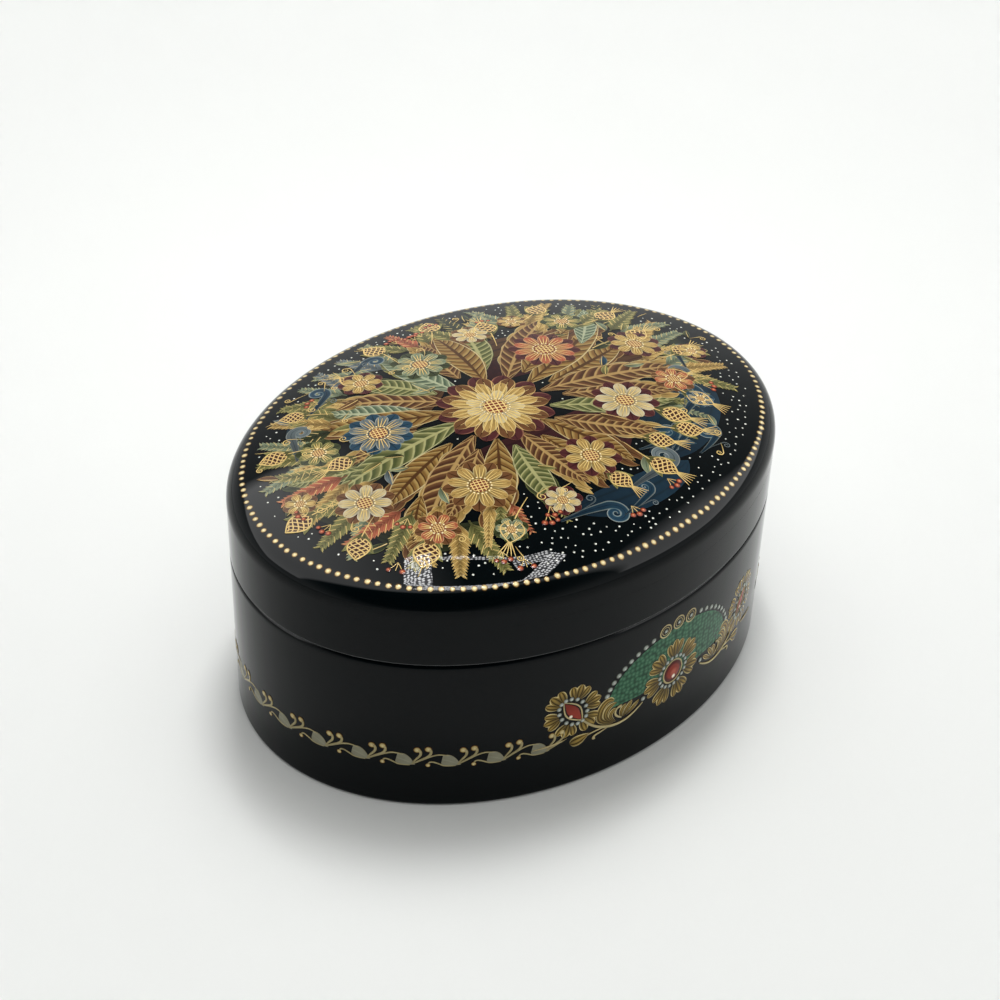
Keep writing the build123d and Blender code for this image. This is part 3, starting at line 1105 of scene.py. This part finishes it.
# Small leaves, buds with a gold lattice, sprigs of berries and gold tendrils fill the gaps between
# the flowers. Cream dots as fine as a needle's point are scattered over the lacquer that stays black.
small_leaves = {"olive": 24, "sage": 18, "moss": 18, "ochre": 16, "brown": 14, "steel": 8, "teal": 8}
small_path = [(0, 0, 0.03), (0.22, 0.05, 0.17), (0.58, 0.07, 0.18), (0.88, 0.02, 0.07), (1.0, 0, 0)]
small_rib = [(0.05, 0, 0.02), (0.5, 0.07, 0.022), (0.9, 0.02, 0.008)]
bud_path = [(0, 0, 0.16), (0.2, 0, 0.40), (0.5, 0, 0.44), (0.8, 0, 0.24), (1.0, 0, 0)]
bud_sepal = [(-0.25, 0, 0.05), (0.15, 0.22, 0.16), (0.52, 0.42, 0.10), (0.66, 0.56, 0)]
bud_rim = [(0, 0.14, 0.02), (0.2, 0.38, 0.026), (0.5, 0.42, 0.03), (0.8, 0.22, 0.026), (1.0, 0, 0.02)]
bud_stem = [(-1.2, 0.25, 0.012), (-0.6, 0.08, 0.020), (-0.1, 0, 0.026)]
berry_stem = [(0, 0, 0.05), (0.9, 0.1, 0.06), (1.6, 0, 0.05)]
bud_rows = (
    (25, 0.80), (46, 0.82), (76, 0.82), (93, 0.80), (128, 0.82), (146, 0.84), (176, 0.86), (194, 0.84),
    (212, 0.80), (234, 0.70), (270, 0.62), (284, 0.68), (294, 0.60), (303, 0.68),
    (312, 0.60), (324, 0.70), (337, 0.64), (350, 0.76), (8, 0.70), (160, 0.62), (110, 0.70), (60, 0.66),
)
small_leaf_skip = 0.6
tendrils, sprigs, filling_coat, berry_coat = 40, 20, 62, 66
speck_tries = 9000
speck_reach = (48, 37)
speck_share = 0.945
speck_gap = 1.05
berry_places = []


def chance_spot(near, far):
    """A place anywhere round the picture, evenly spread between two squared shares, and the way outwards."""
    return border_spot(chance.uniform(0, 360), math.sqrt(chance.uniform(near, far)))


def lattice_paint(name, ground, line, along_cells, across_cells):
    """Paint crossed by slanting gold lines, for hearts and buds."""
    material, tree, _ = new_material(name)
    along, across = stroke_way(tree)
    along, across = maths(tree, "MULTIPLY", along, along_cells), maths(tree, "MULTIPLY", across, across_cells)
    slants = [maths(tree, operation, along, across) for operation in ("ADD", "SUBTRACT")]
    near = maths(tree, "MINIMUM", *(maths(tree, "PINGPONG", slant, 0.5) for slant in slants))
    colour = add_ramp(tree, near, [(0, tone(line)), (0.09, tone(line)), (0.17, tone(ground))])
    return mix_paint(material, colour, 0.15)


latticed = open_pot("picture_latticed_buds", flat_brush)
coats = itertools.cycle((60, 63))
for degrees, share in bud_rows:
    root, outwards = border_spot(degrees, share)
    turn = outwards + chance.uniform(-0.5, 0.5)
    coat = next(coats)
    size = chance.uniform(4.0, 4.9)
    for side in (-1, 0, 1):
        paint(oils["olive"], bud_sepal, root, turn, coat, size, side or 1)
    paint(latticed, bud_path, root, turn, coat + 1, size)
    for side in (-1, 1):
        paint(liner, bud_rim, root, turn, coat + 1.5, size, side)
    for k in range(-2, 3):
        tuft = [(0.95, 0.02 * k, 0.02), (1.2, 0.07 * k, 0.024), (1.55, 0.15 * k, 0.01)]
        paint(liner, tuft, root, turn, coat + 1.5, size)
    paint(liner, bud_stem, root, turn, coat, size)

coats = itertools.cycle(range(50, 58, 2))
for name in (name for name, count in small_leaves.items() for _ in range(count)):
    root, outwards = chance_spot(0.09, 0.80)
    turn = outwards + chance.uniform(-1.1, 1.1)
    size = chance.uniform(3.0, 5.2)
    coat = next(coats)
    if square_of(*root) in taken and chance.random() < small_leaf_skip:
        continue
    paint(oils[name], small_path, root, turn, coat, size, chance.choice((-1, 1)))
    paint(liner, small_rib, root, turn, coat + 1, size)
for _ in range(tendrils):
    root, outwards = chance_spot(0.30, 0.86)
    if square_of(*root) in taken:
        turn = outwards + chance.uniform(-1.4, 1.4)
        length, curl, wind = (chance.uniform(*limits) for limits in ((2.0, 3.6), (-0.2, 0.3), (0.5, 0.9)))
        line = winding(length, curl, wind, 0.10, 0.06)
        paint(liner, line, root, turn, filling_coat, 1.0, chance.choice((-1, 1)))
for _ in range(sprigs):
    root, outwards = chance_spot(0.42, 0.84)
    if square_of(*root) not in taken:
        continue
    for k in range(-1, 2):
        turn = outwards + math.radians(34) * k
        paint(liner, berry_stem, root, turn, filling_coat, 1.0)
        x, y = spot(root, turn, 1.9, 0)
        if in_picture(x, y, 0.94):
            berry_places.append((x * mm, y * mm, berry_coat * coat_step, 0, chance.uniform(0.8, 1.15)))
            mark(x, y, 0.6)

speck_places, kept = [], {}
for _ in range(speck_tries):
    x, y = (chance.uniform(-reach, reach) for reach in speck_reach)
    if not in_picture(x, y, speck_share) or square_of(x, y) in taken:
        continue
    square = (int(x // speck_gap), int(y // speck_gap))
    beside = [kept.get((square[0] + i, square[1] + j)) for i in (-1, 0, 1) for j in (-1, 0, 1)]
    if any(other and math.dist(other, (x, y)) < speck_gap for other in beside):
        continue
    kept[square] = (x, y)
    speck_places.append((x * mm, y * mm, 0, 0, chance.uniform(0.75, 1.2)))

for name, pot in grounds.items():
    body, edge, vein = oil_tones[name]
    low = [part * 0.72 for part in body]
    paint_lid(dry(pot), ground_lift, stroke_paint(f"{name}_ground", (low, low, vein), 3, 0.6))
for name, pot in ribbed_pots.items():
    paint_lid(dry(pot), picture_lift, ribbed_paint(f"ribbed_{name}", ribbed_tones[name]))
for name, pot in oils.items():
    paint_lid(dry(pot), picture_lift, stroke_paint(f"oil_{name}", oil_tones[name], 1, 0.35))
bud_lattice = lattice_paint("bud_lattice", (58, 30, 24), (206, 176, 112), 4.6, 3.6)
paint_lid(dry(latticed), picture_lift, bud_lattice)
lid_gold = stroke_paint("lid_gold", ((204, 176, 108), (160, 126, 66), (226, 202, 140)), 1, 0.85)
paint_lid(dry(liner), line_lift, lid_gold)
heart_lattice = lattice_paint("heart_lattice", (110, 50, 34), (214, 188, 122), 3.6, 3.6)
# Heart dots, berries and specks have a painted highlight in the middle and painted shade towards the rim.
cream_dot = dot_paint_with_painted_light("cream_dot", (236, 228, 200), (214, 198, 152), (140, 108, 62))
berry_red = dot_paint_with_painted_light("berry_red", (196, 132, 92), (146, 66, 44), (72, 28, 20))
cream_speck = dot_paint_with_painted_light("cream_speck", (232, 234, 226), (214, 216, 206), (150, 150, 136))
dotted = (
    ("picture_latticed_hearts", 0.001, 0.00002, 20, heart_places, heart_lattice),
    ("picture_heart_dots", 0.00026, 0.00003, 8, heart_dots, cream_dot),
    ("picture_berries", 0.00048, 0.00004, 10, berry_places, berry_red),
    ("picture_cream_specks", 0.00018, 0.00002, 6, speck_places, cream_speck),
)
for name, radius, relief, sides, places, material in dotted:
    paint_lid(join_copies(name, add_dot(radius, relief, sides), places), picture_lift, material)


# The table is a plain pale sheet of card, with soft light from a lamp overhead and pale walls around.
# The camera stands at the photograph's viewing angle.
table_colour = (0.73, 0.74, 0.72)
bpy.ops.object.select_all(action="DESELECT")
bpy.ops.mesh.primitive_grid_add(x_subdivisions=4, y_subdivisions=4, size=3.0)
table = bpy.context.object
table.name = "table"
card, card_tree, card_shader = new_material("pale_card")
card_place = add_node(card_tree, "TexCoord", {}, "Object")
card_cloud = add_node(card_tree, "TexNoise", {"Vector": card_place, "Scale": 14, "Detail": 5}, "Fac")
card_tones = (*table_colour, 1), (*(part * 0.97 for part in table_colour), 1)
card_mix = blend(card_tree, card_cloud, *card_tones)
feed(card_shader, {"Base Color": card_mix, "Roughness": 0.7, "Coat Weight": 0})
table.data.materials.append(card)

world = bpy.data.worlds.new("pale_room")
world.use_nodes = True
room = world.node_tree
room_way = add_node(room, "TexCoord", {}, "Generated")
room_height = add_node(room, "SeparateXYZ", {"Vector": room_way}, "Z")
room_stops = ((0.0, 1.05), (0.30, 0.86), (0.50, 0.54), (0.65, 0.34), (0.80, 0.20), (1.0, 0.12))
room_light = add_ramp(room, room_height, [(at, (level * 0.98, level, level, 1)) for at, level in room_stops])
dark_side = (-0.60, -0.52, 0.60)
facing = add_node(room, "VectorMath", {0: room_way, 1: dark_side}, "Value", operation="DOT_PRODUCT")
room_dark = add_ramp(room, facing, [(0.55, grey(1)), (0.86, grey(0.06))])
feed(room.nodes["Background"], {"Color": blend(room, 1.0, room_light, room_dark, "MULTIPLY")})
bpy.context.scene.world = world


def add_lamp(name, place, size, power, turn=None):
    """Hangs an oblong lamp, a soft one aimed at the box or a level, turned one that shows in the gloss."""
    lamp = bpy.data.lights.new(name, "AREA")
    lamp.shape = "RECTANGLE"
    lamp.size, lamp.size_y = size
    lamp.energy = power
    holder = bpy.data.objects.new(name, lamp)
    holder.location = place
    if turn is None:
        holder.rotation_euler = (-Vector(place)).to_track_quat("-Z", "Y").to_euler()
        holder.visible_glossy = False
    else:
        holder.rotation_euler = (0, 0, turn)
    bpy.context.collection.objects.link(holder)
    return holder


def glowing_lamp(name, place, size, glow, turn):
    """A level lamp of an even glow, with the tree that patterns it and the way over its face."""
    holder = add_lamp(name, place, size, glow * math.pi * size[0] * size[1], turn)
    holder.data.use_nodes = True
    tree = holder.data.node_tree
    return holder, tree, add_node(tree, "NewGeometry", {}, "Parametric")


add_lamp("overhead_softbox", (0.05, 0.05, 1.1), (1.4, 1.4), 6.6)
add_lamp("front_softbox", (-0.55, -0.60, 0.9), (0.9, 0.9), 2.4)
pool = add_lamp("pool_of_light", (0.05, 0.06, 0.7), (0.12, 0.12), 0.018)
pool.rotation_euler = (0, 0, 0)
pool.data.spread = math.radians(26)
ceiling_panels = (
    (67.0, (-0.15, 1.50), (-0.20, 3.6), 4.0, 0.074),
    (14.5, (0.14, 2.3), (-3.1, 0.0), 4.0, 0.024),
)
for degrees, along, aside, glow, fade in ceiling_panels:
    turn = math.radians(degrees)
    middle = Matrix.Rotation(turn, 2) @ Vector((sum(along) / 2, sum(aside) / 2))
    size = (along[1] - along[0], aside[1] - aside[0])
    panel, tree, face = glowing_lamp("pale_ceiling", (*middle, 1.002), size, glow, turn)
    panel.visible_diffuse = False
    ways = add_node(tree, "SeparateXYZ", {"Vector": face}).node.outputs
    edges = []
    for axis, soft in (("X", 0.08), ("Y", fade)):
        near = maths(tree, "PINGPONG", ways[axis], 0.5)
        edges.append(add_ramp(tree, near, [(0.004, grey(0)), (soft, grey(1))]))
    feed(tree.nodes["Emission"], {"Color": blend(tree, 1.0, *edges, "MULTIPLY")})
lamp_pitch = 0.008
panel_strips = (
    ((0.330, 0.458), (0.232, 0.328), 0.056, 70),
    ((0.513, 0.229), (0.378, 0.170), 0.038, 60),
    ((0.151, 0.256), (0.275, 0.086), 0.250, 80),
    ((0.345, 0.415), (0.450, 0.265), 0.014, 45),
    ((0.425, 0.268), (0.500, 0.238), 0.034, 45),
)
for start, end, wide, glow in panel_strips:
    long = math.dist(start, end)
    middle = ((start[0] + end[0]) / 2, (start[1] + end[1]) / 2, 1.0)
    turn = math.atan2(end[1] - start[1], end[0] - start[0])
    _, tree, face = glowing_lamp("panel_rim", middle, (long, wide), glow, turn)
    points = grains(tree, face, (long / lamp_pitch, wide / lamp_pitch, 1), 0.45)
    lit = add_ramp(tree, points, [(0.24, grey(1)), (0.40, (0.07, 0.07, 0.075, 1))])
    feed(tree.nodes["Emission"], {"Color": lit})

camera_place = (-0.18894, -0.18358, 0.21948)
camera_bearing, camera_dip, camera_roll = (math.radians(angle) for angle in (44.434, 36.134, 1.933))
camera_data = bpy.data.cameras.new("camera")
camera_data.sensor_width = 36
camera_data.lens = 70.24
camera = bpy.data.objects.new("camera", camera_data)
aim = Euler((math.pi / 2 - camera_dip, 0, camera_bearing - math.pi / 2)).to_matrix()
aim @= Matrix.Rotation(camera_roll, 3, "Z")
camera.matrix_world = Matrix.Translation(camera_place) @ aim.to_4x4()
bpy.context.collection.objects.link(camera)
bpy.context.scene.camera = camera
bpy.context.scene.view_settings.view_transform = "Standard"

for tool in (full_brush, fine_brush, flat_brush, liner_brush, wall_line, pressing_form):
    bpy.data.objects.remove(tool)
